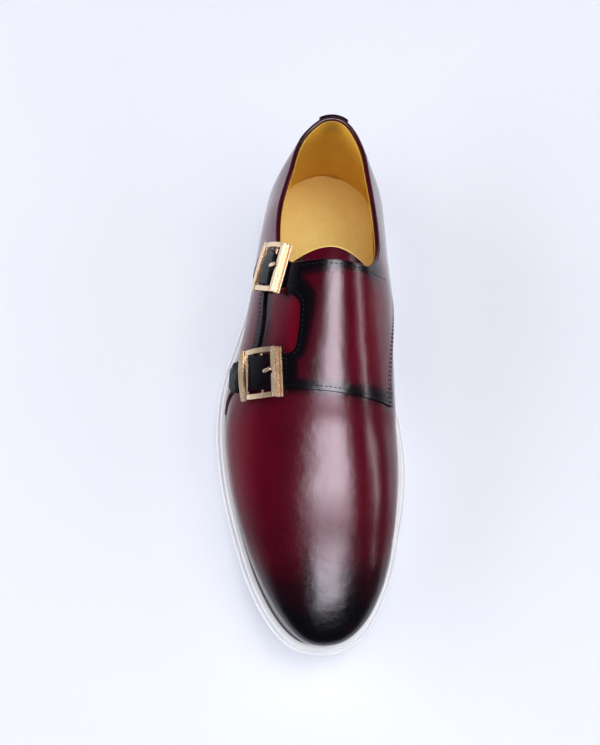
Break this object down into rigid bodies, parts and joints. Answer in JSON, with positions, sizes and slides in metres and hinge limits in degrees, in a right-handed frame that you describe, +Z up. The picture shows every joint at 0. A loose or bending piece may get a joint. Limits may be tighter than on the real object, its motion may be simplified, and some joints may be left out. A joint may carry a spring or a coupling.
{
  "type": "monk strap shoe",
  "caption": "Low leather monk strap shoe for the right foot, its flap closed over the instep by buckled straps, on a rubber cup sole.",
  "frame": {"origin": "middle of the shoe's outline seen from above, on the floor under the sole", "axes": "+X to the wearer's inner (medial) side, +Y from the toe to the heel, +Z up"},
  "size_m": [0.1146, 0.305, 0.1045],
  "materials": {
    "rubber": "white moulded rubber, satin",
    "leather": "polished burgundy calf leather, burnished nearly black at toe, edges and straps",
    "lining": "smooth tan lining leather",
    "gold": "polished light gold plating"
  },
  "bodies": {
    "root": {"sole": "rubber", "insole": "lining", "upper": "leather", "tongue": "leather", "strap_quarter": "leather", "lateral_quarter": "leather", "heel_stay": "leather", "upper_buckle": "gold", "upper_hinge_bar": "gold", "upper_prong": "gold", "upper_buckle_tab": "leather", "lower_buckle": "gold", "lower_hinge_bar": "gold", "lower_prong": "gold", "lower_buckle_tab": "leather"}
  },
  "joints": []
}
